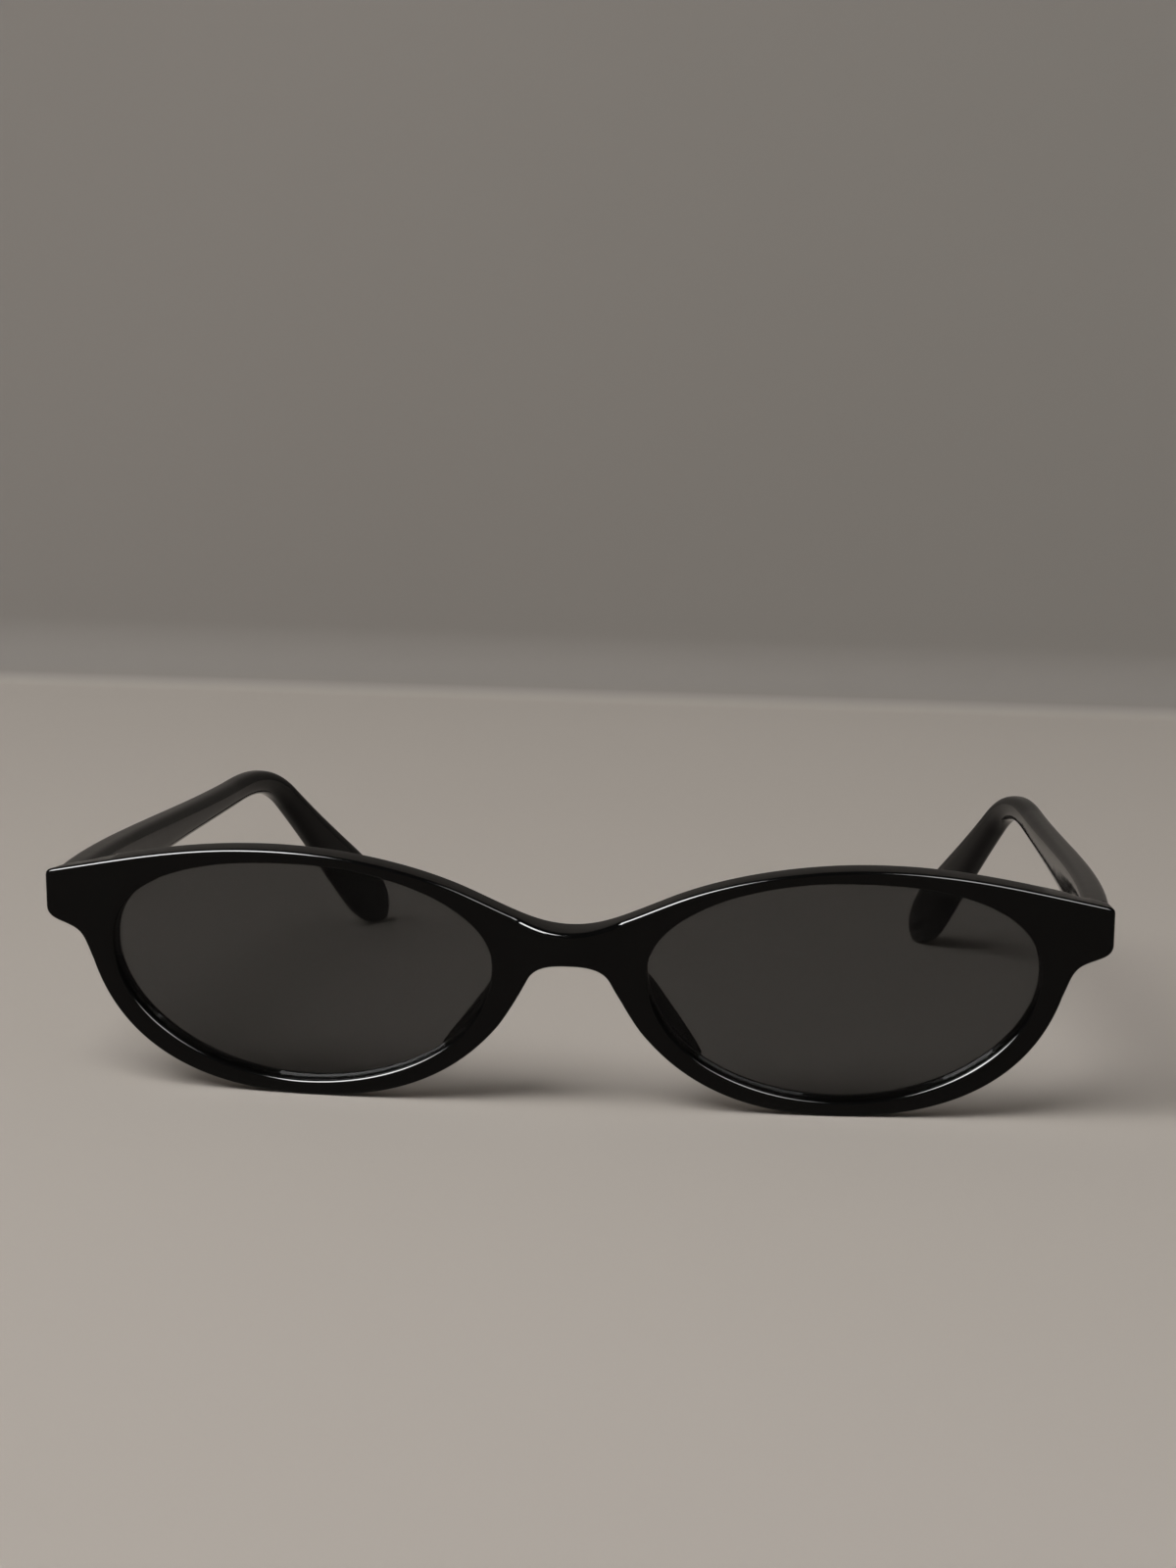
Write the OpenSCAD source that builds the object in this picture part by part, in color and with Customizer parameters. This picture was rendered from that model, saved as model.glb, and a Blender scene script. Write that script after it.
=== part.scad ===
// Oval sunglasses with a slim acetate front and two folding temples.
// X runs across the front, Y back along the temples and Z up from the table they stand on.
// The origin is on the table, midway between the ends and midway from front to tips.

/* [Front] */
// Width of the front, from end to end
front_w = 140; // [132:1:148]
// Thickness of the front sheet
front_t = 3.3; // [3:0.1:4]
// Radius to which the front is bent
bend_r = 500; // [350:10:900]
// Lean of the front as it stands, top forward
lean = 8; // [4:0.5:11]
// Radius on the polished edges of the front
edge_r = 0.45; // [0.35:0.05:0.6]
// Half width of the raised face of the bridge, between its two creases
crown_w = 6.8; // [5:0.1:8]
// Height by which the middle of the bridge's face stands proud
crown_d = 0.3; // [0.1:0.02:0.4]
// Radius on the bridge's top edge, between the creases
bridge_r = 0.85; // [0.6:0.05:1]

/* [Lens openings] */
// Width of a lens opening
lens_w = 50.7; // [48:0.1:52]
// Height of a lens opening
lens_h = 29.8; // [28:0.1:32]
// Distance between the two lens openings
bridge_w = 20.2; // [18:0.2:23]
// Width of the rim above the lens
rim_top = 1.85; // [1.5:0.05:2.6]
// Width of the rim below the lens
rim_low = 2.05; // [1.6:0.05:2.8]
// Height of the bridge, from its arch to its top edge
bridge_h = 4.7; // [4:0.1:6]
// Height of the arch over the nose
arch_z = 20; // [18:0.1:22]

/* [End pieces] */
// Height of the end piece's top corner
end_top = 29; // [28.2:0.1:29.8]
// Height of the end face
end_h = 5.8; // [4.9:0.1:6.5]
// Place of the joint with the temple, behind the foot of the front
joint_y = 7; // [6.4:0.1:8]
// Fall of the end piece from the sheet's rising edge back to the joint
end_fall = 0.8; // [0:0.1:1.2]

/* [Lenses] */
// Thickness of a lens
lens_t = 1.9; // [1.6:0.1:2.2]
// Depth of the groove that holds the lens
groove = 0.9; // [0.6:0.05:1.1]
// Clearance of the lens in its groove
lens_gap = 0.1; // [0.05:0.01:0.15]
// Bulge of the lens ahead of its edge
lens_bulge = 0.33; // [0.1:0.01:0.8]

/* [Nose pads] */
// Depth of a pad, back from the rim
pad_h = 5; // [3:0.1:6]
// Width of a pad where it is glued on
pad_w = 2.6; // [2.2:0.1:3]
// Lean of a pad's crest towards its lens
pad_lean = 0.8; // [0.4:0.1:1.4]

/* [Temples] */
// Thickness of a temple at the joint
arm_t = 3.9; // [3.4:0.1:4.4]
// Height of a temple at the joint
arm_h = 6.6; // [5.8:0.1:7]
// Height of a temple at the bend over the ear
bend_h = 3.6; // [3:0.1:5]
// Width of the paddle at the tip
tip_h = 8.6; // [6:0.2:10]
// Thickness of the paddle at the tip
tip_t = 3.4; // [2.8:0.1:4]
// Distance from the joint back to the crown of the bend
ear_y = 80; // [72:1:88]
// Height of the crown of the bend above the table
ear_z = 29.2; // [28:0.1:30.6]
// Distance from the crown back to the tip
drop_y = 34; // [30:1:38]
// Half distance between the bends
ear_x = 58.6; // [56:0.2:62]
// Half distance between the tips
tip_x = 43.2; // [41:0.1:50]

/* [Hinges] */
// Radius of the hinge barrel
barrel_r = 1.3; // [1.2:0.05:1.4]
// Height of one knuckle
knuckle_h = 0.9; // [0.8:0.05:1]
// Number of knuckles, the front leaf has the odd ones
knuckles = 5; // [3:2:5]
// Radius of the hinge screw
screw_r = 0.65; // [0.5:0.05:0.75]
// Running clearance between the hinge leaves
hinge_gap = 0.08; // [0.06:0.01:0.12]
// Thickness of a hinge plate
plate_t = 0.9; // [0.8:0.05:1]
// Length of the hinge plate in the temple
plate_l = 8; // [6:0.5:10]
// Width of the hinge plate in the front
plate_w = 3; // [2.4:0.1:3.2]
// Radius of the core wire in a temple
wire_r = 0.6; // [0.4:0.05:0.7]

/* [Hidden] */

// Lens opening: four quarter ovals that meet on its tallest and widest lines
lens_cx = bridge_w / 2 + 0.505 * lens_w;
lens_cz = rim_low + 0.58 * lens_h;
half_nasal = lens_cx - bridge_w / 2;
half_outer = bridge_w / 2 + lens_w - lens_cx;
half_up = rim_low + lens_h - lens_cz;
half_down = lens_cz - rim_low;

// Fullness of the quarter that an angle lies in, 2 is a true ellipse
function fullness(a) = (cos(a) < 0 ? (sin(a) > 0 ? 1.98 : 2.04) : (sin(a) > 0 ? 2.38 : 1.93));
// Distance from the lens centre to the opening's edge at an angle
function oval(a) = let (
    n = fullness(a),
    w = cos(a) < 0 ? half_nasal : half_outer,
    h = sin(a) > 0 ? half_up : half_down)
    pow(pow(abs(cos(a)) / w, n) + pow(abs(sin(a)) / h, n), -1 / n);
function on_oval(a) = [lens_cx + oval(a) * cos(a), lens_cz + oval(a) * sin(a)];
function unit(p) = p / norm(p);
// Point of the opening's edge, moved outwards by e
function opening(a, e) = let (t = unit(on_oval(a + 0.5) - on_oval(a - 0.5))) on_oval(a) + e * [t.y, -t.x];

// Points of a cubic curve, without its first
function curve(a, b, c, d, n) = [for (i = [1 : n]) let (t = i / n, s = 1 - t)
    s * s * s * a + 3 * s * s * t * b + 3 * s * t * t * c + t * t * t * d];

// Outline of the right half of the front, seen from ahead, from the bridge's top round to its arch
bridge_top = [0, arch_z + bridge_h];
bridge_low = [0, arch_z];
brow = [lens_cx + 2.8, rim_low + lens_h + rim_top];
brow_in = [bridge_w / 2 + 3.5, end_top + 0.1];
end_up = [front_w / 2 - 1.1, end_top];
end_in = [front_w / 2, end_top - 1.1];
end_low = [front_w / 2, end_top - end_h];
notch = [front_w / 2 - 3.9, end_top - end_h - 2.3];
cheek = [front_w / 2 - 6.3, end_top - 12.3];
foot = [lens_cx - 0.5, 0];
nasal = [bridge_w / 2 - 0.75, 11];
shoulder = [bridge_w / 2 - 4.7, arch_z - 2.4];
outline = concat([bridge_top],
    curve(bridge_top, bridge_top + [4.5, 0], brow_in - [6, 2.55], brow_in, 8),
    curve(brow_in, brow_in + [7.4, 3.1], brow - [7.9, 0], brow, 7),
    curve(brow, brow + [11.3, 0], end_up - [11, -2.55], end_up, 8),
    curve(end_up, end_up + [0.8, -0.2], end_in + [0, 0.7], end_in, 3),
    [end_low + [0, 0.6]],
    curve(end_low + [0, 0.6], end_low - [0, 1.4], notch + [1.7, 1], notch, 5),
    curve(notch, notch - [1.3, 0.8], cheek + [0.9, 2.1], cheek, 4),
    curve(cheek, cheek - [3.2, 10.1], foot + [16.4, 0], foot, 12),
    curve(foot, foot - [12.4, 0], nasal + [5.6, -7], nasal, 10),
    curve(nasal, nasal + [-1.6, 2.2], shoulder + [0.8, -1.6], shoulder, 4),
    curve(shoulder, shoulder + [-0.8, 1.6], bridge_low + [3, 0], bridge_low, 7));
stations = len(outline);
// Inward direction at each point of the outline
inward = [for (i = [0 : stations - 1])
    i == 0 ? [0, -1] : i == stations - 1 ? [0, 1]
    : let (t = unit(outline[i + 1] - outline[i - 1])) [t.y, -t.x]];
angles = [for (p = outline) atan2(p.y - lens_cz, p.x - lens_cx)];

// The front is bent about an upright axis behind it and leans forward
function bent(p, d) = let (c = sqrt(1 - pow(p.x / bend_r, 2)), y = bend_r - (bend_r - d) * c)
    [p.x * (bend_r - d + edge_r) / bend_r, y * cos(lean) - p.y * sin(lean), y * sin(lean) + p.y * cos(lean)];
foot_drop = min([for (p = outline) bent(p, edge_r).z]);
function sheet(p, d) = bent(p, d) - [0, 0, foot_drop];
// Point of the face, set forward on the bridge
function crown(p, d) = sheet(p, d - crown_d * max(0, 1 - pow(p.x / crown_w, 2)));

// Share of the end piece's step that a point of the back has, from 0 at the rim to 1
function ease(t) = let (c = max(0, min(1, t))) c * c * (3 - 2 * c);
lens_edge = bridge_w / 2 + lens_w;
function step(p) = ease((p.x - lens_edge - 0.1) / 1.2) * ease((p.y - end_top + end_h + 5.5) / 3);
// Point of the back, d behind the front face, carried back to the joint's plane on the end piece
function back(p, d) = let (f = sheet(p, d), b = sheet(p, front_t))
    f + step(p) * [0, joint_y - b.y, -end_fall];
function back_r(p) = edge_r * (1 - 0.7 * step(p));
// Radius of the face's outer edge: the bridge's top is rounder between the creases
function face_r(p) = p.y < arch_z + bridge_h / 2 ? edge_r
    : edge_r + (bridge_r - edge_r) * ease((crown_w + 0.5 - abs(p.x)) / 1);

// Section of the rim at station i, from the outer edge over the face, the groove and the back
groove_y = front_t / 2;
groove_half = 0.65;
function rim_section(i) = let (o = outline[i], n = inward[i], a = angles[i], e = edge_r, r = face_r(o),
                               b = back_r(o), face = opening(a, e), rear = o + b * n)
    concat(
        [for (q = [0 : 30 : 90]) crown(o + r * (1 - cos(q)) * n, r * (1 - sin(q)))],
        [for (f = [0.25, 0.55]) crown(face * f + (o + r * n) * (1 - f), 0)],
        [for (q = [0 : 45 : 90]) sheet(opening(a, e * (1 - sin(q))), e * (1 - cos(q)))],
        [sheet(opening(a, 0), groove_y - groove_half),
         sheet(opening(a, groove), groove_y),
         sheet(opening(a, 0), groove_y + groove_half)],
        [for (q = [0 : 45 : 90]) back(opening(a, e * (1 - cos(q))), front_t - e * (1 - sin(q)))],
        [for (f = [0.1, 0.24, 0.55]) back(face * (1 - f) + rear * f, front_t)],
        [for (q = [0 : 30 : 90]) back(o + b * (1 - sin(q)) * n, front_t - b * (1 - cos(q)))]);
rim_m = len(rim_section(0));
outer_last = 3;
outer_back = rim_m - 4;

// Both halves share the points on the middle plane, so they are one piece
rim_points = [for (i = [0 : stations - 1]) each rim_section(i)];
all_points = concat(rim_points, [for (p = rim_points) [-p.x, p.y, p.z]]);
function right_id(i, j) = (i % stations) * rim_m + j % rim_m;
function left_id(i, j) = let (k = right_id(i, j)) abs(rim_points[k].x) < 0.001 ? k : k + len(rim_points);
rim_cells = [for (i = [0 : stations - 1], j = [0 : rim_m - 1])
    if (i < stations - 1 || (j >= outer_last && j < outer_back)) [i, j]];

y_first = min([for (p = rim_points) p.y]);

module front_blank() {
    right = [for (c = rim_cells) let (i = c[0], j = c[1]) each [
        [right_id(i, j), right_id(i + 1, j), right_id(i + 1, j + 1)],
        [right_id(i, j), right_id(i + 1, j + 1), right_id(i, j + 1)]]];
    left = [for (c = rim_cells) let (i = c[0], j = c[1]) each [
        [left_id(i, j), left_id(i + 1, j + 1), left_id(i + 1, j)],
        [left_id(i, j), left_id(i, j + 1), left_id(i + 1, j + 1)]]];
    polyhedron(all_points, concat(right, left));
}

// Lens: rings on both faces and a bevelled edge that stands in the groove
lens_front = groove_y - lens_t / 2;
lens_rings = [0.35, 0.7, 1];
lens_angles = [for (i = [0 : stations - 1]) if (i == 0 || abs(angles[i] - angles[i - 1]) > 0.6) angles[i]];
lens_n = len(lens_angles);
function lens_point(a, s, d) = let (c = [lens_cx, lens_cz], e = opening(a, -lens_gap))
    sheet(c + s * (e - c), d - lens_bulge * (1 - s * s));
lens_loops = concat(
    [for (s = lens_rings) [for (a = lens_angles) lens_point(a, s, lens_front)]],
    [[for (a = lens_angles) sheet(opening(a, -lens_gap), groove_y - groove_half + lens_gap)],
     [for (a = lens_angles) sheet(opening(a, groove - 1.6 * lens_gap), groove_y)],
     [for (a = lens_angles) sheet(opening(a, -lens_gap), groove_y + groove_half - lens_gap)]],
    [for (i = [len(lens_rings) - 1 : -1 : 0])
        [for (a = lens_angles) lens_point(a, lens_rings[i], lens_front + lens_t)]]);

// Closed body through a list of loops of equal length, with a point at each end
module loft(loops, start, finish) {
    n = len(loops[0]);
    m = len(loops);
    points = concat([start], [for (l = loops) each l], [finish]);
    function id(i, j) = 1 + i * n + j % n;
    polyhedron(points, concat(
        [for (j = [0 : n - 1]) [0, id(0, j), id(0, j + 1)]],
        [for (i = [0 : m - 2], j = [0 : n - 1]) each [
            [id(i, j), id(i + 1, j), id(i + 1, j + 1)],
            [id(i, j), id(i + 1, j + 1), id(i, j + 1)]]],
        [for (j = [0 : n - 1]) [id(m - 1, j), 1 + m * n, id(m - 1, j + 1)]]));
}

module lens() {
    c = [lens_cx, lens_cz];
    loft(lens_loops, sheet(c, lens_front - lens_bulge), sheet(c, lens_front + lens_t - lens_bulge));
}

// Nose pad: a D-shaped rib that runs down the back of the nasal rim and fades out at both ends
pad_first = stations - 15;
pad_last = stations - 8;
pad_seat = 0.02;
function pad_size(i) = pow(max(0, sin(180 * (i - pad_first + 0.5) / (pad_last - pad_first + 1))), 0.6);
pad_shape = [[0, 0], [0.06, 0.4], [0.22, 0.75], [0.5, 0.95], [0.75, 1],
             [1, 0.9], [1.06, 0.6], [1.02, 0.3], [1, 0]];
function pad_section(i) = let (k = pad_size(i), e = 0.45 + (1 - k) * 0.9, w = pad_w - (1 - k) * 1.7)
    [for (q = pad_shape)
        let (out = e + w * q[0] + pad_lean * k * q[1])
            sheet(outline[i] + out * inward[i], front_t + pad_seat + pad_h * k * q[1])];

module nose_pad() {
    loops = [for (i = [pad_first : pad_last]) pad_section(i)];
    function middle(l) = [for (k = [0 : 2]) (l[0][k] + l[4][k] + l[8][k]) / 3];
    loft(loops, middle(loops[0]), middle(loops[len(loops) - 1]));
}

// Temple: a section carried along a path from the joint over the ear to the tip
joint_gap = 0.12;
arm_y = joint_y + joint_gap;
side_x = back([front_w / 2, end_top - end_h / 2], front_t).x;
arm_top = back(end_up, front_t).z;
arm_in = side_x - arm_t;
p_joint = [side_x - arm_t / 2, arm_y, arm_top - arm_h / 2];
p_crown = [ear_x, arm_y + ear_y, ear_z - bend_h / 2];
p_tip = [tip_x, p_crown.y + drop_y, 1.2];
arm_end = p_crown + [2.3, -10, -0.4];
arm_aim = [-2.9, 22, 0.9];
fall = p_crown + [-3.2, 10.5, -3.6];
path = concat([p_joint],
    curve(p_joint, p_joint + [0, 22, 0.4], arm_end - arm_aim, arm_end, 12),
    curve(arm_end, arm_end + 0.32 * arm_aim, fall - 8 * unit(p_tip - fall), fall, 10),
    [for (k = [1 : 9]) fall + k / 9 * (p_tip - fall)]);
path_n = len(path);
path_l = [for (i = 0, s = 0; i < path_n;
               i = i + 1, s = s + (i < path_n ? norm(path[i] - path[i - 1]) : 0)) s];
arm_l = path_l[path_n - 1];
bend_s = path_l[17] / arm_l;

// Height and thickness of the section at a share s of the temple's length
function blend(a, b, t) = a + (b - a) * ease(t);
function arm_high(s) = s < bend_s ? blend(arm_h, bend_h, s / bend_s)
    : blend(bend_h, tip_h, pow((s - bend_s) / (0.97 - bend_s), 1.3));
function arm_thick(s) = blend(arm_t, tip_t, s / 0.5);
// Round end of the paddle: its share of the full size near the tip
tip_round = 9;
function tip_share(s) = let (t = max(0, 1 - (1 - s) * arm_l / tip_round)) sqrt(max(0.03, 1 - t * t));

arm_sides = 16;
function along(i) = unit(path[min(path_n - 1, i + 1)] - path[max(0, i - 1)]);
function across(i) = let (t = i == 0 ? [0, 1, 0] : along(i)) unit([t.y, -t.x, 0]);
function upright(i) = let (t = i == 0 ? [0, 1, 0] : along(i)) cross(across(i), t);
// Rounded rectangle that turns oval over the ear: cosines drawn out towards the corners
function corner(s) = blend(0.45, 0.75, s / bend_s);
function square_off(c, k) = (c < 0 ? -1 : 1) * pow(abs(c), k);
function arm_section(i) = let (s = path_l[i] / arm_l, h = arm_high(s) / 2 * tip_share(s),
                               w = arm_thick(s) / 2 * pow(tip_share(s), 0.6), c = corner(s))
    [for (k = [0 : arm_sides - 1]) let (a = 360 * (k + 0.5) / arm_sides)
        path[i] + w * square_off(cos(a), c) * across(i) + h * square_off(sin(a), c) * upright(i)];

// The core wire follows the same path and ends short of the tip
wire_last = path_n - 4;
wire_gap = 0.05;
wire_sides = 8;
function wire_ring(i, r) = [for (k = [0 : wire_sides - 1]) let (a = 360 * (k + 0.5) / wire_sides)
    path[i] + r * cos(a) * across(i) + r * sin(a) * upright(i)];
wire_stops = [for (i = [0 : wire_last]) if (i % 2 == 0 || i > 11) i];

arm_rings = [for (i = [0 : path_n - 1]) arm_section(i)];
tip_low = min([for (r = arm_rings) each [for (p = r) p.z]]);
// The drop is set so that the paddle just touches the table
function landed(p) = p - [0, 0, tip_low * ease((p.y - arm_end.y) / (p_tip.y - arm_end.y - 4))];
y_last = max([for (k = [path_n - 3 : path_n - 1]) each [for (p = arm_rings[k]) p.y]]);
y_mid = (y_first + y_last) / 2;

module temple_blank() {
    outer = [for (r = arm_rings) each [for (p = r) landed(p)]];
    bore = [for (i = wire_stops) each [for (p = wire_ring(i, wire_r + wire_gap)) landed(p)]];
    end = landed(path[path_n - 1] + 0.6 * along(path_n - 1));
    floor = landed(path[wire_last] + 0.3 * along(wire_last));
    n = arm_sides;
    w = wire_sides;
    o = len(outer);
    b = len(wire_stops);
    function a_id(i, k) = i * n + k % n;
    function b_id(i, k) = o + i * w + k % w;
    polyhedron(concat(outer, bore, [end, floor]), concat(
        [for (k = [0 : w - 1]) each [
            [a_id(0, 2 * k), b_id(0, k), a_id(0, 2 * k + 1)],
            [a_id(0, 2 * k + 1), b_id(0, k), b_id(0, k + 1)],
            [a_id(0, 2 * k + 1), b_id(0, k + 1), a_id(0, 2 * k + 2)]]],
        [for (i = [0 : path_n - 2], k = [0 : n - 1]) each [
            [a_id(i, k), a_id(i + 1, k + 1), a_id(i + 1, k)],
            [a_id(i, k), a_id(i, k + 1), a_id(i + 1, k + 1)]]],
        [for (k = [0 : n - 1]) [a_id(path_n - 1, k), a_id(path_n - 1, k + 1), o + b * w]],
        [for (i = [0 : b - 2], k = [0 : w - 1]) each [
            [b_id(i, k), b_id(i + 1, k), b_id(i + 1, k + 1)],
            [b_id(i, k), b_id(i + 1, k + 1), b_id(i, k + 1)]]],
        [for (k = [0 : w - 1]) [b_id(b - 1, k), o + b * w + 1, b_id(b - 1, k + 1)]]));
}

module core_wire() {
    loops = [for (i = wire_stops) [for (p = wire_ring(i, wire_r)) landed(p)]];
    loft([for (l = loops) [for (k = [wire_sides - 1 : -1 : 0]) l[k]]],
        path[0] + [0, 0.03, 0], landed(path[wire_last]));
}

// Hinge: the knuckles share one upright axis at the inner corner of the joint
axis_x = arm_in - 0.35;
axis_y = joint_y + joint_gap / 2;
stack_h = knuckles * knuckle_h;
stack_z = p_joint.z - stack_h / 2 - 0.25;
relief = 0.15;
seat = 0.04;
head_h = 0.6;
head_r = barrel_r - 0.15;

// The knuckles at every other place in the stack, grown by g all round
module knuckle_stack(first, g) {
    for (k = [first : 2 : knuckles - 1])
        translate([axis_x, axis_y, stack_z + k * knuckle_h + hinge_gap / 2 - g])
            cylinder(h = knuckle_h - hinge_gap + 2 * g, r = barrel_r + g, $fn = 48);
}

module screw_bore() {
    translate([axis_x, axis_y, stack_z - 1]) cylinder(h = stack_h + 2, r = screw_r + 0.04, $fn = 32);
}

// Clear round well that both the end piece and the temple leave for the barrel and its screw head
module barrel_well() {
    translate([axis_x, axis_y, stack_z - relief]) cylinder(h = 20, r = barrel_r + relief, $fn = 48);
}

module front_plate(g) {
    translate([axis_x - plate_w - g, joint_y - plate_t - g, stack_z - g])
        cube([plate_w + g, plate_t + g + (g > 0 ? 1 : 0), stack_h + 2 * g]);
}

module front_hinge_leaf() {
    difference() {
        union() {
            difference() {
                front_plate(0);
                knuckle_stack(1, hinge_gap);
            }
            knuckle_stack(0, 0);
        }
        screw_bore();
    }
}

module temple_plate(g) {
    translate([arm_in - g, axis_y, stack_z - g])
        cube([plate_t + 2 * g, plate_l + g, stack_h + 2 * g]);
}

module temple_hinge_leaf() {
    difference() {
        union() {
            difference() {
                temple_plate(0);
                knuckle_stack(0, hinge_gap);
            }
            knuckle_stack(1, 0);
        }
        screw_bore();
    }
}

module hinge_screw() {
    difference() {
        translate([axis_x, axis_y, stack_z + hinge_gap / 2]) {
            cylinder(h = stack_h, r = screw_r, $fn = 32);
            translate([0, 0, stack_h - hinge_gap / 2 + 0.02]) cylinder(h = head_h, r = head_r, $fn = 48);
        }
        translate([axis_x - 2, axis_y - 0.15, stack_z + stack_h + head_h - 0.2]) cube([4, 0.3, 1]);
    }
}

module front_frame() {
    difference() {
        front_blank();
        for (m = [0, 1]) mirror([m, 0, 0]) {
            barrel_well();
            front_plate(seat);
        }
    }
}

module temple() {
    difference() {
        temple_blank();
        barrel_well();
        translate([-1, 0, 0]) temple_plate(seat);
        temple_plate(seat);
    }
}

// The glasses are drawn from the foot of the front and then centred from front to back
module placed(side) {
    translate([0, -y_mid, 0]) mirror([side == "left" ? 1 : 0, 0, 0]) children();
}

color("#101011") placed("right") front_frame();
color("#3c3c3b", 0.6) placed("left") lens();  // lens_left
color("#3c3c3b", 0.6) placed("right") lens();  // lens_right
color("#141415") placed("left") nose_pad();  // nose_pad_left
color("#141415") placed("right") nose_pad();  // nose_pad_right
color("silver") placed("left") front_hinge_leaf();  // front_hinge_leaf_left
color("silver") placed("right") front_hinge_leaf();  // front_hinge_leaf_right
color("gray") placed("left") hinge_screw();  // hinge_screw_left
color("gray") placed("right") hinge_screw();  // hinge_screw_right
color("#101011") placed("left") temple();  // temple_left
color("silver") placed("left") temple_hinge_leaf();  // temple_hinge_leaf_left
color("gray") placed("left") core_wire();  // core_wire_left
color("#101011") placed("right") temple();  // temple_right
color("silver") placed("right") temple_hinge_leaf();  // temple_hinge_leaf_right
color("gray") placed("right") core_wire();  // core_wire_right
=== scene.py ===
from math import cos, pi, radians, sin

import bmesh
import bpy
import numpy as np
from mathutils import Matrix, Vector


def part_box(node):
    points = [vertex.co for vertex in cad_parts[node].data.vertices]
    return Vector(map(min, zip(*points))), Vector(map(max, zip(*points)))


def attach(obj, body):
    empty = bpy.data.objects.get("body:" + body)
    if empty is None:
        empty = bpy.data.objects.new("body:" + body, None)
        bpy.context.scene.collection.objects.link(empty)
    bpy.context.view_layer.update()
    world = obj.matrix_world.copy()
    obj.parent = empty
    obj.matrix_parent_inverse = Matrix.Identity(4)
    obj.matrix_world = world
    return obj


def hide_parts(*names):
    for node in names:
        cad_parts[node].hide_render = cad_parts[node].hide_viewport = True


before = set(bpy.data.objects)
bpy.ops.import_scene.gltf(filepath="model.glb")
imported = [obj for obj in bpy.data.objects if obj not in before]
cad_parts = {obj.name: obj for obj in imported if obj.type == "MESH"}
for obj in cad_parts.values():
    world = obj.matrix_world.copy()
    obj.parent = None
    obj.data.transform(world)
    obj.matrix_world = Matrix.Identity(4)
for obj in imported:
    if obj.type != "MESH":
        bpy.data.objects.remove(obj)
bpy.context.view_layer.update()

# Front: one sheet of black cellulose acetate, routed to shape with both lens openings, bent to a
# shallow curve and tumbled until every edge is round and the faces shine. Sizes are in millimetres.
MM = 0.001
front_w = (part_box("front_frame")[1].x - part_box("front_frame")[0].x) / MM
front_t = 3.3
bend_r = 500.0
lean = radians(8)
edge_r = 0.45
lens_w = 50.7
lens_h = 29.8
bridge_w = 20.2
bridge_h = 4.55
arch_z = 20.15
rim_top = 1.85
rim_low = 2.05
end_top = 29.0
end_h = 5.8
joint_y = 7.0
end_fall = 0.8
groove = 0.9
groove_half = 0.65
crown_w = 6.8
crown_d = 1.3
bridge_r = 0.7

# A lens opening's centre is level with its widest points and in line with its highest and lowest ones
lens_c = np.array([bridge_w / 2 + 0.505 * lens_w, rim_low + 0.58 * lens_h])
lens_edge = bridge_w / 2 + lens_w
# A curve has this many points for each 1 in the count that it is drawn with
FINE = 6


def bezier(a, b, c, d, n):
    """n points of a cubic curve after its first: s^3 a + 3 s^2 t b + 3 s t^2 c + t^3 d, with s = 1 - t."""
    t = np.linspace(0, 1, n + 1)[1:, None]
    s = 1 - t
    a, b, c, d = (np.asarray(x, float) for x in (a, b, c, d))
    return s**3 * a + 3 * s**2 * t * b + 3 * s * t**2 * c + t**3 * d


def ease(t):
    """Smooth step: 3 t^2 - 2 t^3 with t held between 0 and 1."""
    t = np.clip(t, 0, 1)
    return t * t * (3 - 2 * t)


def unit(v):
    """Each vector divided by its length."""
    return v / np.linalg.norm(v, axis=-1, keepdims=True)


def opening(angle, out):
    """Edge of a lens opening at an angle about the lens centre, moved outwards by out. Each quarter is a
    superellipse, r = (|cos / w|^n + |sin / h|^n)^(-1/n), so the oval is fuller up and out."""
    def edge(a):
        c, s = np.cos(a), np.sin(a)
        n = np.where(c < 0, np.where(s > 0, 1.98, 2.04), np.where(s > 0, 2.38, 1.93))
        w = np.where(c < 0, lens_c[0] - bridge_w / 2, lens_edge - lens_c[0])
        h = np.where(s > 0, rim_low + lens_h - lens_c[1], lens_c[1] - rim_low)
        r = (np.abs(c / w) ** n + np.abs(s / h) ** n) ** (-1 / n)
        return lens_c + r[..., None] * np.stack([c, s], -1)
    t = unit(edge(angle + 0.01) - edge(angle - 0.01))
    return edge(angle) + np.asarray(out)[..., None] * np.stack([t[..., 1], -t[..., 0]], -1)


def bent(p, d):
    """A point of the flat front, d behind its face: bent about an upright axis bend_r behind it, so that
    y = bend_r - (bend_r - d) sqrt(1 - (x / bend_r)^2), and turned forward by lean."""
    x, z = p[..., 0], p[..., 1]
    y = bend_r - (bend_r - d) * np.sqrt(1 - (x / bend_r) ** 2)
    return np.stack([x * (bend_r - d + edge_r) / bend_r,
                     y * cos(lean) - z * sin(lean),
                     y * sin(lean) + z * cos(lean)], -1)


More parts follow.
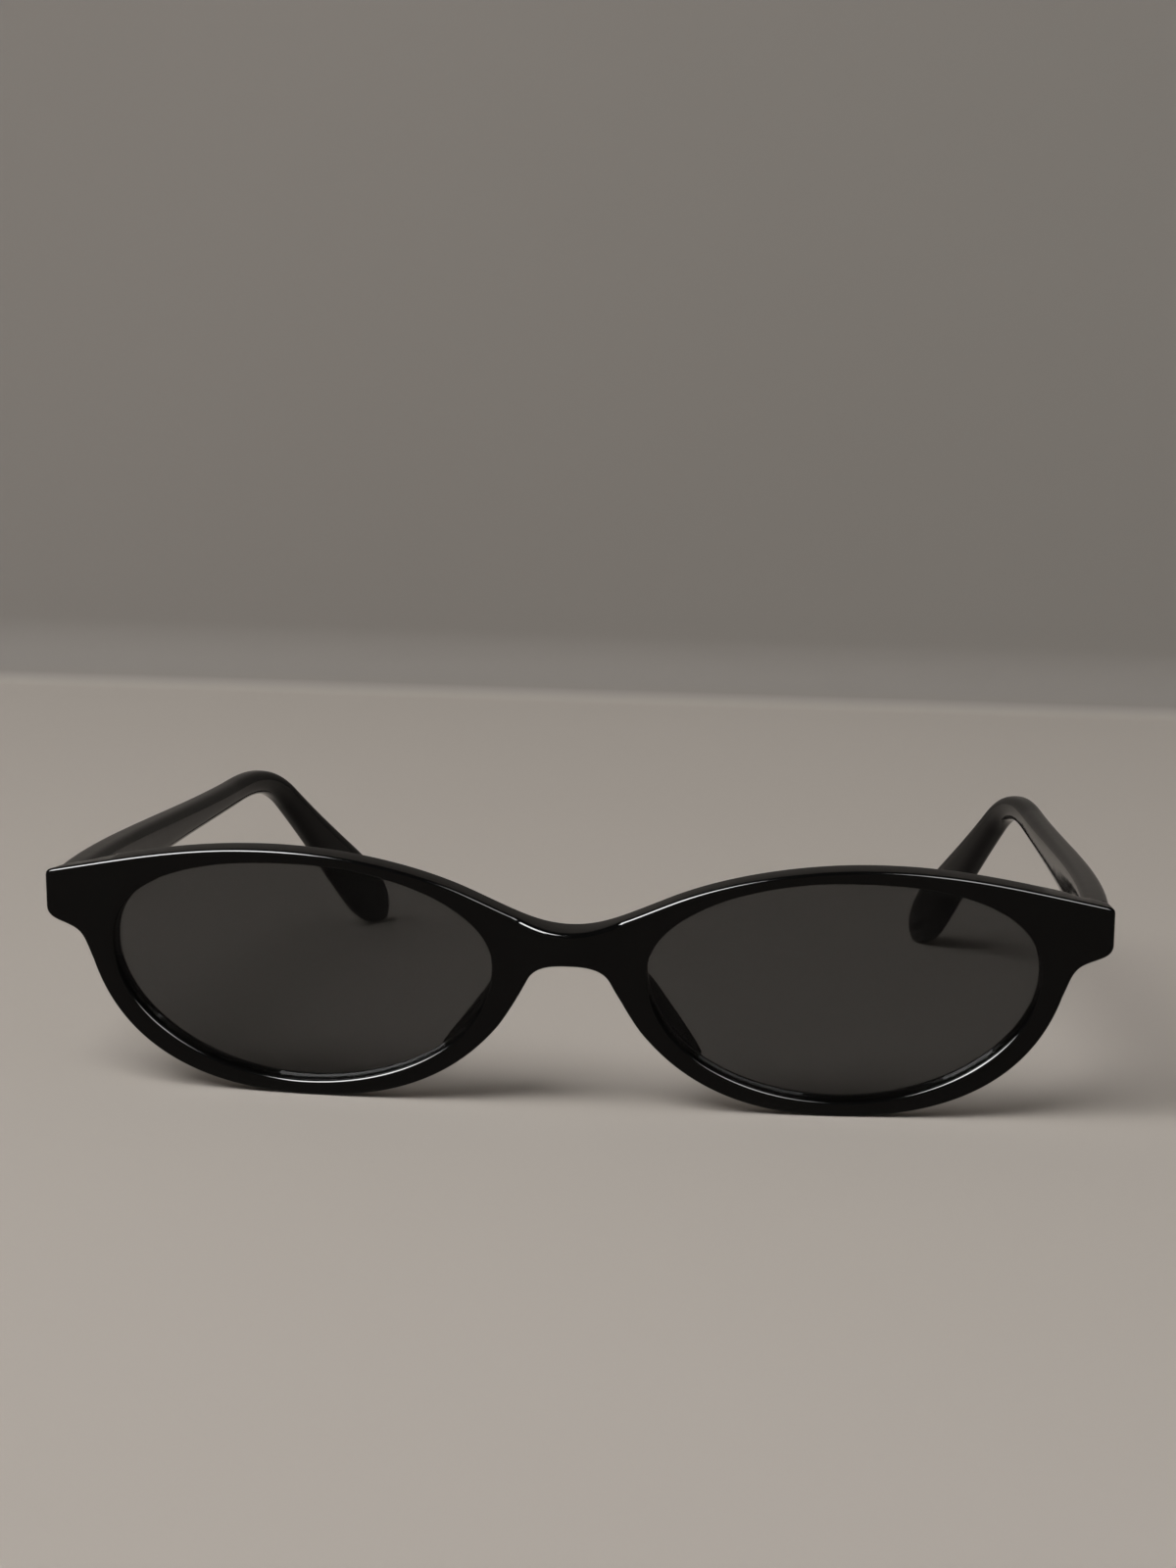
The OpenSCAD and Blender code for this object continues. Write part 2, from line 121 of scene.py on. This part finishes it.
def outline_points(k):
    """Outline of the right half from the bridge's top round to its arch, as cubic curves end to end."""
    top, low = np.array([0, arch_z + bridge_h]), np.array([0, arch_z])
    brow = np.array([lens_c[0] + 2.8, rim_low + lens_h + rim_top])
    brow_in = np.array([bridge_w / 2 + 3.5, end_top + 0.1])
    end_up = np.array([front_w / 2 - 1.1, end_top])
    end_in = np.array([front_w / 2, end_top - 1.1])
    end_low = np.array([front_w / 2, end_top - end_h + 0.6])
    notch = np.array([front_w / 2 - 3.9, end_top - end_h - 2.3])
    cheek = np.array([front_w / 2 - 6.3, end_top - 12.3])
    foot = np.array([lens_c[0] - 0.5, 0])
    nasal = np.array([bridge_w / 2 - 0.75, 11])
    shoulder = np.array([bridge_w / 2 - 4.7, arch_z - 2.4])
    return np.concatenate([
        top[None],
        bezier(top, top + [4.5, 0], brow_in - [6, 2.55], brow_in, 8 * k),
        bezier(brow_in, brow_in + [7.4, 3.1], brow - [7.9, 0], brow, 7 * k),
        bezier(brow, brow + [11.3, 0], end_up - [11, -2.55], end_up, 8 * k),
        bezier(end_up, end_up + [0.8, -0.2], end_in + [0, 0.7], end_in, 3 * k),
        bezier(end_in, end_in * 0.67 + end_low * 0.33, end_in * 0.33 + end_low * 0.67, end_low, k),
        bezier(end_low, end_low - [0, 2], notch + [1.7, 1], notch, 5 * k),
        bezier(notch, notch - [1.3, 0.8], cheek + [0.9, 2.1], cheek, 4 * k),
        bezier(cheek, cheek - [3.2, 10.1], foot + [16.4, 0], foot, 12 * k),
        bezier(foot, foot - [12.4, 0], nasal + [5.6, -7], nasal, 10 * k),
        bezier(nasal, nasal + [-1.6, 2.2], shoulder + [0.8, -1.6], shoulder, 4 * k),
        bezier(shoulder, shoulder + [-0.8, 1.6], low + [3, 0], low, 7 * k)])


outline = outline_points(FINE)
inward = np.gradient(outline, axis=0)
inward = unit(np.stack([inward[:, 1], -inward[:, 0]], -1))
inward[0], inward[-1] = (0, -1), (0, 1)
foot_drop = bent(outline, edge_r)[:, 2].min()


def sheet(p, d):
    """bent(), with the foot of the front set down on the table."""
    return bent(p, d) - [0, 0, foot_drop]


def step(p):
    """Share of the thicker end piece at a point of the back: 0 on the rim, 1 on the block at the joint. It
    rises over 1.2 mm outwards, just outside the lens, and over 3 mm upwards, from 5.5 mm below the end."""
    return ease((p[..., 0] - lens_edge - 0.1) / 1.2) * ease((p[..., 1] - end_top + end_h + 5.5) / 3)


def back(p, d):
    """Point of the back, carried to the joint's plane on the end piece."""
    s = step(p)[..., None]
    y = sheet(p, front_t)[..., 1:2]
    return sheet(p, d) + s * np.concatenate([0 * y, joint_y - y, 0 * y - end_fall], -1)


def crown(p, d):
    """Point of the face: between its creases the bridge stands proud by crown_d (1 - |x / crown_w|^1.7),
    which is more than the CAD's bridge does, because the highlight on the real one asks for it."""
    proud = crown_d * np.clip(1 - np.abs(p[..., 0] / crown_w) ** 1.7, 0, 1)
    return sheet(p, d - proud)


def rim_grid():
    """The front's right half as a grid: station along the outline by place in the rim's section. The top
    edge of the bridge is rounded with bridge_r between its creases, and every other edge with edge_r. The
    section runs over the outer rounding, the face, the inner rounding, the lens groove and the back. More
    stations on the bridge's middle plane close the loop, with their outer rounding drawn in to a point."""
    across = np.linspace(arch_z + edge_r, arch_z + bridge_h - edge_r, 14)[1:-1]
    o = np.concatenate([outline, np.stack([0 * across, across], -1)])
    n = np.concatenate([inward, np.tile([0.0, 1.0], (len(across), 1))])
    rounder = ease(crown_w + 0.5 - np.abs(o[:, 0])) * (o[:, 1] > arch_z + bridge_h / 2)
    r = np.where(np.arange(len(o)) < len(outline), edge_r + (bridge_r - edge_r) * rounder, 0.0)
    a = np.arctan2(outline[:, 1] - lens_c[1], outline[:, 0] - lens_c[0])
    a = np.concatenate([a, np.linspace(a[-1], a[0], len(across) + 2)[1:-1]])
    b = np.minimum(r, edge_r) * (1 - 0.7 * step(o))
    quarter = np.radians(np.linspace(0, 90, 8))
    over = [0.02, 0.08, 0.2, 0.4, 0.6, 0.8, 0.92, 0.98]
    behind = np.linspace(0.02, 0.98, 24)
    face = opening(a, edge_r)
    face_out = o + r[:, None] * n
    rear_out = o + b[:, None] * n
    columns = [crown(o + (r * (1 - cos(q)))[:, None] * n, r * (1 - sin(q))) for q in quarter]
    columns += [crown(face_out * (1 - f) + face * f, 0) for f in over]
    columns += [crown(opening(a, edge_r * (1 - sin(q))), edge_r * (1 - cos(q))) for q in quarter]
    columns += [sheet(opening(a, out), front_t / 2 + d)
                for out, d in ((0, -groove_half), (groove, 0), (0, groove_half))]
    columns += [back(opening(a, edge_r * (1 - cos(q))), front_t - edge_r * (1 - sin(q))) for q in quarter]
    columns += [back(face * (1 - f) + rear_out * f, front_t) for f in behind]
    columns += [back(o + (b * (1 - sin(q)))[:, None] * n, front_t - b * (1 - cos(q))) for q in quarter]
    return np.stack(columns, 1)


def quads(rows, columns, wrap_rows, wrap_columns):
    """Corner numbers of the cells of a grid whose rows and columns may close on themselves."""
    i, j = np.meshgrid(np.arange(rows if wrap_rows else rows - 1),
                       np.arange(columns if wrap_columns else columns - 1), indexing="ij")
    k = (i + 1) % rows
    l = (j + 1) % columns
    corners = [i * columns + j, k * columns + j, k * columns + l, i * columns + l]
    return np.stack(corners, -1).reshape(-1, 4)


def piece(name, points, faces, cuts=(), crease=40):
    """Makes the mesh from points in the drawing's millimetres, with doubles merged, normals outwards and
    edges of more than crease degrees sharp. Each cut is a closed mesh that is taken out of it."""
    mesh = bpy.data.meshes.new(name)
    place = np.asarray(points, float).reshape(-1, 3) + [0, y_shift, 0]
    mesh.from_pydata(place * MM, [], faces if isinstance(faces, list) else faces.tolist())
    shape = bmesh.new()
    shape.from_mesh(mesh)
    bmesh.ops.remove_doubles(shape, verts=shape.verts, dist=1e-7)
    bmesh.ops.dissolve_degenerate(shape, edges=shape.edges, dist=1e-8)
    bmesh.ops.recalc_face_normals(shape, faces=shape.faces)
    shape.to_mesh(mesh)
    shape.free()
    thing = bpy.data.objects.new(name, mesh)
    bpy.context.scene.collection.objects.link(thing)
    for cut in cuts:
        hollow = thing.modifiers.new("hollow", "BOOLEAN")
        hollow.operation = "DIFFERENCE"
        hollow.solver = "EXACT"
        hollow.object = cut
    if cuts:
        bpy.context.view_layer.update()
        done = bpy.data.meshes.new_from_object(thing.evaluated_get(bpy.context.evaluated_depsgraph_get()))
        thing.modifiers.clear()
        thing.data = done
        done.name = name
    thing.data.shade_smooth()
    thing.data.set_sharp_from_angle(angle=radians(crease))
    return thing


def both_halves(points, faces):
    """The right half and its mirror image, without the cells that lie wholly in the middle plane."""
    flat = points.reshape(-1, 3)
    kept = faces[np.abs(flat[faces][..., 0]).max(-1) > 1e-6]
    return np.concatenate([flat, flat * [-1, 1, 1]]), np.concatenate([kept, kept[:, ::-1] + len(flat)])


def drum(x, y, low, high, r):
    """Upright closed cylinder as points and faces, for a bore."""
    sides = 64
    a = np.linspace(0, 2 * pi, sides, endpoint=False)
    ring = np.stack([x + r * np.cos(a), y + r * np.sin(a), 0 * a], -1)
    points = np.concatenate([ring + [0, 0, low], ring + [0, 0, high]])
    i = np.arange(sides)
    j = (i + 1) % sides
    walls = np.stack([i, j, sides + j, sides + i], -1)
    return points, walls.tolist() + [i[::-1].tolist(), (sides + i).tolist()]


def block(low, high):
    """Upright box between two corners as points and faces, for a pocket."""
    xs, ys, zs = zip(low, high)
    points = np.array([[x, y, z] for z in zs for y in ys for x in xs])
    return points, [[0, 2, 3, 1], [4, 5, 7, 6], [0, 1, 5, 4], [2, 6, 7, 3], [0, 4, 6, 2], [1, 3, 7, 5]]


# Each hinge sits in a round well and two flat pockets, one in the front and one in the temple, which are
# cut a little larger than the hinge itself
knuckle_h = 0.9
stack_h = 5 * knuckle_h
barrel_r = 1.3
relief = 0.15
plate_t = 0.9
plate_l = 8.0
plate_w = 3.0
seat = 0.04
joint_gap = 0.12
arm_t = 3.9
arm_h = 6.6
side_x = back(np.array([front_w / 2, end_top - end_h / 2]), front_t)[0]
arm_top = back(np.array([front_w / 2 - 1.1, end_top]), front_t)[2]
arm_y = joint_y + joint_gap
axis_x = side_x - arm_t - 0.35
axis_y = joint_y + joint_gap / 2
# The CAD screw stands on this axis, so it says how far the drawing's y lies from the frame's
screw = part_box("hinge_screw_left")
y_shift = (screw[0].y + screw[1].y) / 2 / MM - axis_y
stack_z = arm_top - arm_h / 2 - stack_h / 2 - 0.25


def cutters(side, pocket):
    """The hinge's well, open at the top, and one pocket on one side, as meshes to cut with."""
    well = drum(axis_x, axis_y, stack_z - relief, stack_z + 20, barrel_r + relief)
    return [piece("cutter", points * [side, 1, 1], faces) for points, faces in (well, pocket)]


def clear(cuts):
    """Removes the cutting meshes once they have been used."""
    for cut in cuts:
        bpy.data.meshes.remove(cut.data)


front_pocket = block((axis_x - plate_w - seat, joint_y - plate_t - seat, stack_z - seat),
                     (axis_x, joint_y + 1, stack_z + stack_h + seat))
cuts = cutters(1, front_pocket) + cutters(-1, front_pocket)
rim = rim_grid()
points, faces = both_halves(rim, quads(len(rim), rim.shape[1], True, True))
front = piece("acetate_front", points, faces, cuts)
clear(cuts)


class Value:
    """A number or colour that changes over a surface: sums, products and powers of a number add Math nodes
    to its material."""

    def __init__(self, finish, socket):
        self.finish, self.socket = finish, socket

    def math(self, operation, *others):
        return self.finish.add("ShaderNodeMath", {"operation": operation}, *others)

    def __add__(self, other):
        return self.math("ADD", self, other)

    def __rsub__(self, other):
        return self.math("SUBTRACT", other, self)

    def __mul__(self, other):
        return self.math("MULTIPLY", self, other)

    def __pow__(self, other):
        return self.math("POWER", self, other)

    __radd__ = __add__
    __rmul__ = __mul__

    def held(self):
        """The value kept between 0 and 1."""
        return self.math("MINIMUM", self.math("MAXIMUM", self, 0), 1)


class Finish:
    """A material under construction. Its patterns use Object coordinates, in metres."""

    def __init__(self, name, **constants):
        self.material = bpy.data.materials.new(name)
        self.material.use_nodes = True
        self.tree = self.material.node_tree
        self.shader = self.tree.nodes["Principled BSDF"]
        self.place = self.add("ShaderNodeTexCoord", {}, output="Object")
        for socket, value in constants.items():
            self.shader.inputs[socket.replace("_", " ")].default_value = value

    def add(self, kind, settings, *values, output=0, **named):
        """Adds any node: its settings first, then the values or links of its sockets."""
        node = self.tree.nodes.new(kind)
        for key, value in settings.items():
            setattr(node, key, value)
        for key, value in list(enumerate(values)) + [(k.replace("_", " "), v) for k, v in named.items()]:
            if isinstance(value, Value):
                self.tree.links.new(value.socket, node.inputs[key])
            else:
                node.inputs[key].default_value = value
        return Value(self, node.outputs[output])

    def noise(self, scale, detail=2.0, roughness=0.5, stretch=(1, 1, 1)):
        """Soft noise from 0 to 1, with scale cells to the metre."""
        place = self.add("ShaderNodeMapping", {}, Vector=self.place, Scale=stretch)
        return self.add("ShaderNodeTexNoise", {}, Vector=place, Scale=scale, Detail=detail,
                        Roughness=roughness)

    def mix(self, share, a, b):
        """Colour a where share is 0 and colour b where it is 1."""
        node = self.tree.nodes.new("ShaderNodeMix")
        node.data_type = "RGBA"
        for key, value in ((0, share), (6, a), (7, b)):
            if isinstance(value, Value):
                self.tree.links.new(value.socket, node.inputs[key])
            else:
                node.inputs[key].default_value = value
        return Value(self, node.outputs[2])

    def feed(self, socket, value):
        """Links a value or colour to one of the shader's sockets."""
        self.tree.links.new(value.socket, self.shader.inputs[socket])

    def bump(self, height, distance):
        """Raises the surface by height times distance, in metres."""
        raised = self.add("ShaderNodeBump", {}, Height=height, Distance=distance, output="Normal")
        self.feed("Normal", raised)


def dressed(thing, finish, body, node):
    """Gives a piece its finish and body, and hides the CAD node that it stands for."""
    thing.data.materials.clear()
    thing.data.materials.append(finish.material)
    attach(thing, body)
    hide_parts(node)


def acetate(name):
    """Tumbled black acetate: nearly black with a breath of warmth, a soft orange peel from the polishing
    drum, and hairlines and wiped patches that only change how sharply it shines."""
    finish = Finish(name, IOR=1.48, Specular_IOR_Level=0.14)
    cloud = finish.noise(90, 3)
    finish.feed("Base Color", finish.mix(cloud, (0.0006, 0.0006, 0.0006, 1), (0.0016, 0.0015, 0.0014, 1)))
    hairlines = finish.noise(2600, 2, 0.6, (0.12, 1, 1))
    wiped = finish.noise(160, 3)
    finish.feed("Roughness", (0.035 + wiped * 0.05 + (hairlines ** 6) * 0.4).held())
    finish.bump(finish.noise(420, 1), 0.000012)
    return finish


black_acetate = acetate("black_acetate")
dressed(front, black_acetate, "front", "front_frame")

# Lenses: two grey tinted plastic sun lenses, ground with a bevelled edge that snaps into the groove of
# the warmed rim. Both faces are polished and slightly domed.
lens_t = 1.9
lens_gap = 0.1
lens_bulge = 0.33


def lens_rings():
    """Loops of the lens from the middle of its front, over the edge in the groove, to the middle of its
    back. A face point at share s of the way to the edge is set forward by lens_bulge (1 - s^2)."""
    a = np.linspace(0, 2 * pi, 240, endpoint=False)
    edge = opening(a, -lens_gap)
    front_d = front_t / 2 - lens_t / 2
    shares = np.sin(np.linspace(0.02, 0.5, 26) * pi)

    def face(s, d):
        return sheet(lens_c + s * (edge - lens_c), d - lens_bulge * (1 - s * s))
    rings = [face(s, front_d) for s in shares]
    bevel = groove_half - lens_gap
    rings += [sheet(opening(a, out), front_t / 2 + d)
              for out, d in ((-lens_gap, -bevel), (groove - 1.6 * lens_gap, 0), (-lens_gap, bevel))]
    return np.stack(rings + [face(s, front_d + lens_t) for s in shares[::-1]])


def closed(rings):
    """Points and faces of a body through loops, with a fan to the middle of its first and last loop."""
    m, n = rings.shape[:2]
    last = (m - 1) * n
    j = np.arange(n)
    k = (j + 1) % n
    start_fan = np.stack([0 * j + m * n, k, j], -1)
    end_fan = np.stack([0 * j + m * n + 1, last + j, last + k], -1)
    ends = np.stack([rings[0].mean(0), rings[-1].mean(0)])
    faces = quads(m, n, False, True).tolist() + start_fan.tolist() + end_fan.tolist()
    return np.concatenate([rings.reshape(-1, 3), ends]), faces


def smoke_lens():
    """Grey tinted lens: a polished face that lets through a small share of light, the same all over."""
    finish = Finish("smoke_lens", IOR=1.5, Specular_IOR_Level=0.12, Alpha=0.69)
    tint = finish.noise(25, 2)
    finish.feed("Base Color", finish.mix(tint, (0.0010, 0.0010, 0.0010, 1), (0.0018, 0.0018, 0.0017, 1)))
    finish.feed("Roughness", (0.012 + finish.noise(220, 3) * 0.03).held())
    return finish


smoke = smoke_lens()
points, faces = closed(lens_rings())
for side, name in ((-1, "left"), (1, "right")):
    lens = piece("sun_lens_" + name, points * [side, 1, 1], faces, crease=30)
    dressed(lens, smoke, "front", "lens_" + name)

# Nose pads: a D-shaped rib of the same acetate on each nasal rim, glued on and blended in by hand with a
# file and polish. Each leans towards its lens as the nose widens.
pad_h = 5.0
pad_w = 2.6
pad_taper = 1.7
pad_in = 0.45
pad_draw = 0.9
pad_lean = 0.8
pad_seat = 0.02
# Places along the outline, counted as its curves are
pad_first = 55
pad_last = 62
pad_shape = np.array([[0, 0], [0.06, 0.4], [0.22, 0.75], [0.5, 0.95], [0.75, 1], [1, 0.9], [1.06, 0.6],
                      [1.02, 0.3], [1, 0]])


def rounded(shape, n):
    """n points on a smooth curve through the points of a shape: Catmull-Rom cubics between neighbours."""
    t = np.linspace(0, len(shape) - 1, n)
    i = np.minimum(t.astype(int), len(shape) - 2)
    f = (t - i)[:, None]
    p = [shape[np.clip(i + k, 0, len(shape) - 1)] for k in (-1, 0, 1, 2)]
    return 0.5 * (2 * p[1] + (p[2] - p[0]) * f + (2 * p[0] - 5 * p[1] + 4 * p[2] - p[3]) * f**2
                  + (3 * p[1] - p[0] - 3 * p[2] + p[3]) * f**3)


def pad_rings():
    """The pad's section, carried along the nasal rim: its size follows sin^0.6 from end to end. Towards
    its ends it is narrower by pad_taper and draws away from the nose by pad_draw."""
    i = np.arange(int((pad_first - 0.5) * FINE) + 1, int((pad_last + 0.5) * FINE))
    k = (np.sin(pi * (i / FINE - pad_first + 0.5) / (pad_last - pad_first + 1)) ** 0.6)[:, None]
    q = rounded(pad_shape, 40)
    foot = pad_in + (1 - k) * pad_draw
    wide = pad_w - (1 - k) * pad_taper
    out = foot + wide * q[:, 0] + pad_lean * k * q[:, 1]
    flat = outline[i][:, None] + out[..., None] * inward[i][:, None]
    return sheet(flat, front_t + pad_seat + pad_h * k * q[:, 1])


points, faces = closed(pad_rings())
pad_acetate = acetate("pad_acetate")
for side, name in ((-1, "left"), (1, "right")):
    pad = piece("acetate_pad_" + name, points * [side, 1, 1], faces, crease=50)
    dressed(pad, pad_acetate, "front", "nose_pad_" + name)

# Temples: each is an acetate arm with a nickel silver core, square-edged at the joint and rounder
# towards the ear, bent down over the ear and inwards, with a paddle tip that is rounded off.
bend_h = 3.6
tip_h = 8.6
tip_t = 3.4
tip_round = 9.0
end_bevel = 0.1
end_seat = 0.02
joint_at = np.array([side_x - arm_t / 2, arm_y, arm_top - arm_h / 2])
bend_at = np.array([58.6, arm_y + 80, 29.2 - bend_h / 2])
tip_at = np.array([43.2, bend_at[1] + 34, 1.2])


def arm_path(k):
    """Line of the arm: one cubic back to the bend, one over the ear, then straight down to the tip."""
    end = bend_at + [2.3, -10, -0.4]
    aim = np.array([-2.9, 22, 0.9])
    fall = bend_at + [-3.2, 10.5, -3.6]
    drop = fall + np.linspace(0, 1, 9 * k + 1)[1:, None] * (tip_at - fall)
    return np.concatenate([joint_at[None],
                           bezier(joint_at, joint_at + [0, 22, 0.4], end - aim, end, 12 * k),
                           bezier(end, end + 0.32 * aim, fall - 8 * unit(tip_at - fall), fall, 10 * k),
                           drop])


def drawn_out(c, k):
    """A cosine drawn out towards the corners: its sign times |c|^k."""
    return np.sign(c) * np.abs(c) ** k


def arm_rings():
    """The arm's section, carried along its line: a rounded rectangle, (|cos|^k, |sin|^k) with k from 0.45
    to 0.75, whose height is eased from the joint to the bend to the paddle, with a round end."""
    line = arm_path(FINE)
    length = np.concatenate([[0], np.cumsum(np.linalg.norm(np.diff(line, axis=0), axis=1))])
    s = length / length[-1]
    bend_s = s[17 * FINE]
    paddle = np.clip((s - bend_s) / (0.97 - bend_s), 0, 1) ** 1.3
    high = np.where(s < bend_s, arm_h + (bend_h - arm_h) * ease(s / bend_s),
                    bend_h + (tip_h - bend_h) * ease(paddle))
    thick = arm_t + (tip_t - arm_t) * ease(s / 0.5)
    end = np.clip(1 - (length[-1] - length) / tip_round, 0, 1)
    share = np.sqrt(np.maximum(0.03, 1 - end**2))
    corner = (0.45 + 0.3 * ease(s / bend_s))[:, None]
    along = unit(np.gradient(line, axis=0))
    along[0] = (0, 1, 0)
    across = unit(np.stack([along[:, 1], -along[:, 0], 0 * s], -1))
    upright = np.cross(across, along)
    a = np.linspace(0, 2 * pi, 96, endpoint=False)
    w = (thick / 2 * share**0.6)[:, None] * drawn_out(np.cos(a), corner)
    h = (high / 2 * share)[:, None] * drawn_out(np.sin(a), corner)
    rings = line[:, None] + w[..., None] * across[:, None] + h[..., None] * upright[:, None]
    # The tip is let down or up until it rests on the table
    low = rings[..., 2].min()
    start = bend_at[1] - 10
    rings[..., 2] -= low * ease((rings[..., 1] - start) / (tip_at[1] - start - 4))
    # The sawn end stands a hair ahead of the core's end. A fine bevel breaks its edge, and a loop close to
    # that edge keeps it crisp.
    first = rings[0] - [0, end_seat, 0]
    face = line[0] - [0, end_seat, 0] + 0.93 * (rings[0] - line[0])
    rings[0] += [0, end_bevel, 0]
    return np.concatenate([face[None], (0.02 * face + 0.98 * first)[None], rings])


arm_pocket = block((side_x - arm_t - 1 - seat, axis_y, stack_z - seat),
                   (side_x - arm_t + plate_t + seat, axis_y + plate_l, stack_z + stack_h + seat))
points, faces = closed(arm_rings())
for side, name in ((-1, "left"), (1, "right")):
    cuts = cutters(side, arm_pocket)
    temple = piece("acetate_temple_" + name, points * [side, 1, 1], faces, cuts)
    clear(cuts)
    dressed(temple, black_acetate, "temple_" + name, "temple_" + name)

# Hinges and cores: nickel silver knuckles and plates, stamped and tumbled, held by a turned screw, and a
# drawn wire shot through each temple. The CAD solids are right as they are and take a finish.


def nickel(name, bright, brushed):
    """Nickel silver: a warm grey metal with a fine grain that runs one way, and duller worn patches."""
    finish = Finish(name, Metallic=1.0)
    grain = finish.noise(3000, 3, 0.6, brushed)
    wear = finish.noise(700, 2)
    warm = (bright, bright * 0.97, bright * 0.91, 1)
    finish.feed("Base Color", finish.mix(wear * 0.6, warm, tuple(0.72 * x for x in warm[:3]) + (1,)))
    finish.feed("Roughness", (0.2 + grain * 0.22).held())
    finish.bump(grain, 0.000004)
    return finish


hinge_metal = nickel("hinge_metal", 0.62, (1, 1, 0.15))
core_metal = nickel("core_metal", 0.55, (1, 0.1, 1))
for name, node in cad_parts.items():
    if "hinge" in name or "core" in name:
        metal = hinge_metal if "hinge" in name else core_metal
        node.data.materials.clear()
        node.data.materials.append(metal.material)

# Stage: a plain pale floor that turns up into a darker wall close behind. A soft lamp and a dim sky light
# the room, and two windows in front, the left one brighter, show in what is polished. Sizes are in metres.
room_half = 3.5
floor_front = 2.2
wall_foot = 0.33
wall_turn = 0.015
wall_h = 1.8
lamp_range = 1.6


def sweep():
    """Floor that turns up into a wall on a quarter circle: a profile in y and z, drawn out along x."""
    a = np.radians(np.linspace(0, 90, 24))
    y = np.concatenate([[-floor_front], wall_foot + wall_turn * np.sin(a), [wall_foot + wall_turn]])
    z = np.concatenate([[0], wall_turn * (1 - np.cos(a)), [wall_h]])
    x = np.linspace(-room_half, room_half, 2)
    points = np.stack(np.broadcast_arrays(x[:, None], y, z), -1)
    mesh = bpy.data.meshes.new("floor")
    mesh.from_pydata(points.reshape(-1, 3), [], quads(2, len(y), False, False).tolist())
    mesh.shade_smooth()
    return bpy.data.objects.new("floor", mesh)


floor = sweep()
bpy.context.scene.collection.objects.link(floor)
ground = Finish("pale_floor", Roughness=1.0, Specular_IOR_Level=0.0)
above_floor = ground.add("ShaderNodeSeparateXYZ", {}, Vector=ground.place, output="Z")
cloud = ground.noise(3, 3)
paving = ground.mix(cloud, (0.43, 0.39, 0.35, 1), (0.47, 0.43, 0.39, 1))
plaster = ground.mix(cloud, (0.25, 0.23, 0.21, 1), (0.28, 0.26, 0.24, 1))
# The paving turns to plaster over the first 2.5 mm of height
ground.feed("Base Color", ground.mix((above_floor * 400).held(), paving, plaster))
# A camera behind the wall looks through it
ground.feed("Alpha", 1 - ground.add("ShaderNodeNewGeometry", {}, output="Backfacing"))
floor.data.materials.append(ground.material)


def placed(thing, right, up, behind, place):
    """Puts a lamp or camera at a place in metres, with its x, y and z axes along right, up and behind."""
    axes = np.column_stack([right, up, behind, place])
    thing.matrix_world = Matrix(np.vstack([axes, [0, 0, 0, 1]]).tolist())
    bpy.context.scene.collection.objects.link(thing)


def window(name, azimuth, elevation, width, height, watts):
    """A soft rectangular lamp that faces the glasses from a direction: azimuth 0 is straight ahead of them
    and a positive one to the right."""
    data = bpy.data.lights.new(name, "AREA")
    data.shape = "RECTANGLE"
    data.size, data.size_y, data.energy = width, height, watts
    lamp = bpy.data.objects.new(name, data)
    a, e = radians(azimuth), radians(elevation)
    away = np.array([sin(a) * cos(e), -cos(a) * cos(e), sin(e)])
    right = np.array([cos(a), sin(a), 0])
    placed(lamp, right, np.cross(away, right), away, away * lamp_range)
    return lamp


# The soft lamp lights the room, and the two panes only show as highlights
window("soft_light", -35, 50, 1.2, 1.0, 24).visible_glossy = False
window("pane_left", -36, 34, 1.0, 0.8, 220).visible_diffuse = False
window("pane_right", 28, 34, 0.6, 0.8, 45).visible_diffuse = False
world = bpy.data.worlds.new("sky")
bpy.context.scene.world = world
world.use_nodes = True
world.node_tree.nodes["Background"].inputs["Color"].default_value = (1.0, 0.985, 0.965, 1)
world.node_tree.nodes["Background"].inputs["Strength"].default_value = 0.16
bpy.context.scene.view_settings.view_transform = "Standard"

# Camera: it stands ahead and to the right of the glasses and looks slightly down and left. Its lens is
# in millimetres for the long side of a 36 mm frame.
stand = np.array([48.5, y_shift - 474.4, 118.8])
pan = -0.0981
tilt = 0.1577
roll = 0.0185
focal = 85.81


def camera():
    """The camera's axes: forward from pan and tilt, then right and up turned about it by the roll."""
    forward = np.array([sin(pan) * cos(tilt), cos(pan) * cos(tilt), -sin(tilt)])
    level = np.array([cos(pan), -sin(pan), 0])
    upward = np.cross(level, forward)
    right = cos(roll) * level + sin(roll) * upward
    up = cos(roll) * upward - sin(roll) * level
    data = bpy.data.cameras.new("camera")
    data.lens = focal
    data.sensor_width = 36
    eye = bpy.data.objects.new("camera", data)
    placed(eye, right, up, -forward, stand * MM)
    bpy.context.scene.camera = eye


camera()
bpy.context.view_layer.update()
